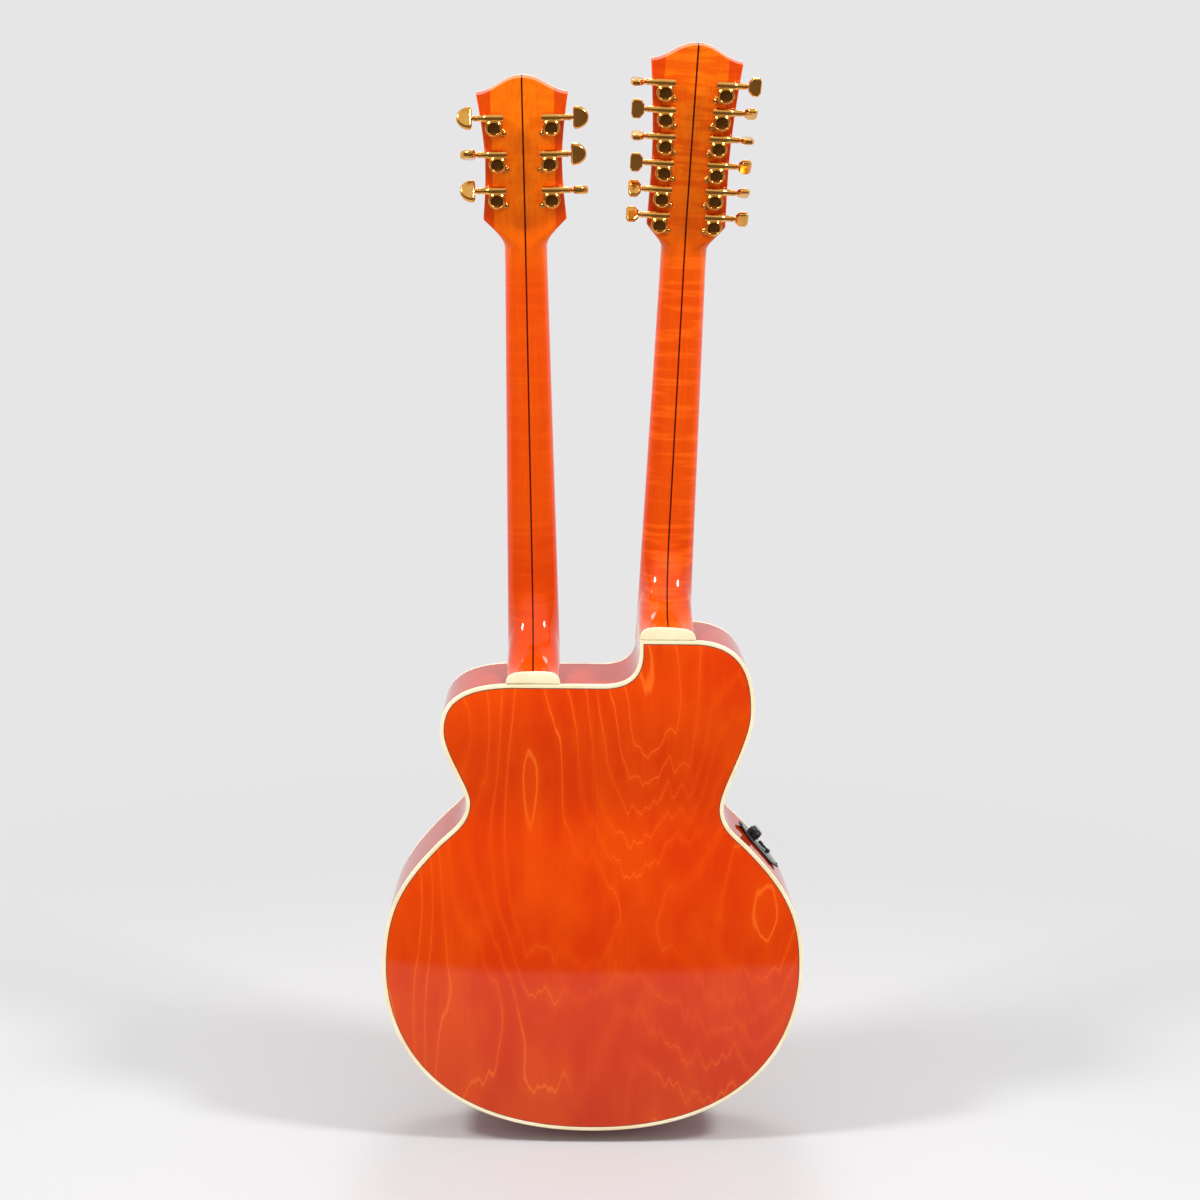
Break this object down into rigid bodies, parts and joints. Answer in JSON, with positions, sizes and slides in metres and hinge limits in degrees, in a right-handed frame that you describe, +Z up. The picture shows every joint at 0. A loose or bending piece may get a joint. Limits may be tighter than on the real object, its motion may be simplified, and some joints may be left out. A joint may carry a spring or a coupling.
{
  "type": "double-neck acoustic guitar",
  "caption": "Hollow-bodied acoustic guitar with two necks side by side, a twelve-string and a six-string one, turning tuners and a preamp in its side.",
  "frame": {"origin": "centre of the end pin's outer face, at the tail of the body, halfway through its depth", "axes": "+Z up the body's centre line to the headstocks, +Y out of the back, -Y out of the strings' side, +X to the six-string neck"},
  "size_m": [0.432, 0.1135, 1.1179],
  "materials": {
    "orange_lacquer": "orange stained maple under high-gloss lacquer",
    "spruce_top": "amber stained spruce under gloss lacquer",
    "cream_binding": "polished cream plastic",
    "pale_wood": "bare wood",
    "rosewood": "oiled dark hardwood",
    "bone": "polished bone colour",
    "gold_plate": "polished gold plating",
    "string_wire": "bronze-wound wire",
    "black_plastic": "black moulded plastic"
  },
  "bodies": {
    "guitar": {"back_plate": "orange_lacquer", "body_rim": "orange_lacquer", "neck_6_string": "orange_lacquer", "neck_12_string": "orange_lacquer", "top_plate": "spruce_top", "top_binding": "cream_binding", "back_binding": "cream_binding", "heel_cap_6": "cream_binding", "heel_cap_12": "cream_binding", "inner_frame": "pale_wood", "fingerboard_6": "rosewood", "fingerboard_12": "rosewood", "bridge_6": "rosewood", "bridge_12": "rosewood", "nut_6": "bone", "nut_12": "bone", "strings_6": "string_wire", "strings_12": "string_wire", "preamp_panel": "black_plastic", "output_jack": "black_plastic", "end_pin": "gold_plate", "tuner_housing_6_bass_1": "gold_plate", "tuner_housing_6_bass_2": "gold_plate", "tuner_housing_6_bass_3": "gold_plate", "tuner_housing_6_treble_1": "gold_plate", "tuner_housing_6_treble_2": "gold_plate", "tuner_housing_6_treble_3": "gold_plate", "tuner_housing_12_bass_1": "gold_plate", "tuner_housing_12_bass_2": "gold_plate", "tuner_housing_12_bass_3": "gold_plate", "tuner_housing_12_bass_4": "gold_plate", "tuner_housing_12_bass_5": "gold_plate", "tuner_housing_12_bass_6": "gold_plate", "tuner_housing_12_treble_1": "gold_plate", "tuner_housing_12_treble_2": "gold_plate", "tuner_housing_12_treble_3": "gold_plate", "tuner_housing_12_treble_4": "gold_plate", "tuner_housing_12_treble_5": "gold_plate", "tuner_housing_12_treble_6": "gold_plate"},
    "tuner_button_6_bass_1": {"tuner_button_6_bass_1": "gold_plate"},
    "tuner_button_6_bass_2": {"tuner_button_6_bass_2": "gold_plate"},
    "tuner_button_6_bass_3": {"tuner_button_6_bass_3": "gold_plate"},
    "tuner_button_6_treble_1": {"tuner_button_6_treble_1": "gold_plate"},
    "tuner_button_6_treble_2": {"tuner_button_6_treble_2": "gold_plate"},
    "tuner_button_6_treble_3": {"tuner_button_6_treble_3": "gold_plate"},
    "tuner_button_12_bass_1": {"tuner_button_12_bass_1": "gold_plate"},
    "tuner_button_12_bass_2": {"tuner_button_12_bass_2": "gold_plate"},
    "tuner_button_12_bass_3": {"tuner_button_12_bass_3": "gold_plate"},
    "tuner_button_12_bass_4": {"tuner_button_12_bass_4": "gold_plate"},
    "tuner_button_12_bass_5": {"tuner_button_12_bass_5": "gold_plate"},
    "tuner_button_12_bass_6": {"tuner_button_12_bass_6": "gold_plate"},
    "tuner_button_12_treble_1": {"tuner_button_12_treble_1": "gold_plate"},
    "tuner_button_12_treble_2": {"tuner_button_12_treble_2": "gold_plate"},
    "tuner_button_12_treble_3": {"tuner_button_12_treble_3": "gold_plate"},
    "tuner_button_12_treble_4": {"tuner_button_12_treble_4": "gold_plate"},
    "tuner_button_12_treble_5": {"tuner_button_12_treble_5": "gold_plate"},
    "tuner_button_12_treble_6": {"tuner_button_12_treble_6": "gold_plate"},
    "volume_knob": {"volume_knob": "black_plastic"},
    "neck_selector": {"neck_selector": "black_plastic"},
    "preamp_button": {"preamp_button": "black_plastic"}
  },
  "joints": [
    {"name": "tuner_turn_6_bass_1", "type": "hinge", "parent": "guitar", "child": "tuner_button_6_bass_1", "pos_m": [0.04929, -0.01478, 0.97614], "axis": [-0.9997, 0, 0.0262], "continuous": true},
    {"name": "tuner_turn_6_bass_2", "type": "hinge", "parent": "guitar", "child": "tuner_button_6_bass_2", "pos_m": [0.05178, -0.00551, 1.01067], "axis": [-0.9997, 0, 0.0262], "continuous": true},
    {"name": "tuner_turn_6_bass_3", "type": "hinge", "parent": "guitar", "child": "tuner_button_6_bass_3", "pos_m": [0.05019, 0.00376, 1.0453], "axis": [-0.9997, 0, 0.0262], "continuous": true},
    {"name": "tuner_turn_6_treble_1", "type": "hinge", "parent": "guitar", "child": "tuner_button_6_treble_1", "pos_m": [0.10305, -0.01478, 0.97473], "axis": [0.9997, 0, -0.0262], "continuous": true},
    {"name": "tuner_turn_6_treble_2", "type": "hinge", "parent": "guitar", "child": "tuner_button_6_treble_2", "pos_m": [0.10237, -0.00551, 1.00934], "axis": [0.9997, 0, -0.0262], "continuous": true},
    {"name": "tuner_turn_6_treble_3", "type": "hinge", "parent": "guitar", "child": "tuner_button_6_treble_3", "pos_m": [0.10577, 0.00376, 1.04384], "axis": [0.9997, 0, -0.0262], "continuous": true},
    {"name": "tuner_turn_12_bass_1", "type": "hinge", "parent": "guitar", "child": "tuner_button_12_bass_1", "pos_m": [-0.1117, -0.02104, 0.95112], "axis": [-0.9994, 0, -0.0349], "continuous": true},
    {"name": "tuner_turn_12_bass_2", "type": "hinge", "parent": "guitar", "child": "tuner_button_12_bass_2", "pos_m": [-0.11181, -0.01428, 0.97634], "axis": [-0.9994, 0, -0.0349], "continuous": true},
    {"name": "tuner_turn_12_bass_3", "type": "hinge", "parent": "guitar", "child": "tuner_button_12_bass_3", "pos_m": [-0.11227, -0.00753, 1.00155], "axis": [-0.9994, 0, -0.0349], "continuous": true},
    {"name": "tuner_turn_12_bass_4", "type": "hinge", "parent": "guitar", "child": "tuner_button_12_bass_4", "pos_m": [-0.11343, -0.00077, 1.02674], "axis": [-0.9994, 0, -0.0349], "continuous": true},
    {"name": "tuner_turn_12_bass_5", "type": "hinge", "parent": "guitar", "child": "tuner_button_12_bass_5", "pos_m": [-0.11563, 0.00598, 1.05189], "axis": [-0.9994, 0, -0.0349], "continuous": true},
    {"name": "tuner_turn_12_bass_6", "type": "hinge", "parent": "guitar", "child": "tuner_button_12_bass_6", "pos_m": [-0.11848, 0.01274, 1.07702], "axis": [-0.9994, 0, -0.0349], "continuous": true},
    {"name": "tuner_turn_12_treble_1", "type": "hinge", "parent": "guitar", "child": "tuner_button_12_treble_1", "pos_m": [-0.05806, -0.02104, 0.953], "axis": [0.9994, 0, 0.0349], "continuous": true},
    {"name": "tuner_turn_12_treble_2", "type": "hinge", "parent": "guitar", "child": "tuner_button_12_treble_2", "pos_m": [-0.0597, -0.01428, 0.97816], "axis": [0.9994, 0, 0.0349], "continuous": true},
    {"name": "tuner_turn_12_treble_3", "type": "hinge", "parent": "guitar", "child": "tuner_button_12_treble_3", "pos_m": [-0.061, -0.00753, 1.00334], "axis": [0.9994, 0, 0.0349], "continuous": true},
    {"name": "tuner_turn_12_treble_4", "type": "hinge", "parent": "guitar", "child": "tuner_button_12_treble_4", "pos_m": [-0.0616, -0.00077, 1.02855], "axis": [0.9994, 0, 0.0349], "continuous": true},
    {"name": "tuner_turn_12_treble_5", "type": "hinge", "parent": "guitar", "child": "tuner_button_12_treble_5", "pos_m": [-0.06116, 0.00598, 1.05379], "axis": [0.9994, 0, 0.0349], "continuous": true},
    {"name": "tuner_turn_12_treble_6", "type": "hinge", "parent": "guitar", "child": "tuner_button_12_treble_6", "pos_m": [-0.06007, 0.01274, 1.07906], "axis": [0.9994, 0, 0.0349], "continuous": true},
    {"name": "volume_turn", "type": "hinge", "parent": "guitar", "child": "volume_knob", "pos_m": [-0.16492, -0.008, 0.31884], "axis": [-0.7545, 0, 0.6563], "range_deg": [-150, 150]},
    {"name": "selector_turn", "type": "hinge", "parent": "guitar", "child": "neck_selector", "pos_m": [-0.17345, -0.008, 0.30903], "axis": [-0.7545, 0, 0.6563], "range_deg": [-35, 35]},
    {"name": "preamp_button_press", "type": "slide", "parent": "guitar", "child": "preamp_button", "axis": [0.7545, 0, -0.6563], "range_m": [0, 0.0015], "stiffness_N_per_m": 400, "springref_m": -0.0005}
  ]
}
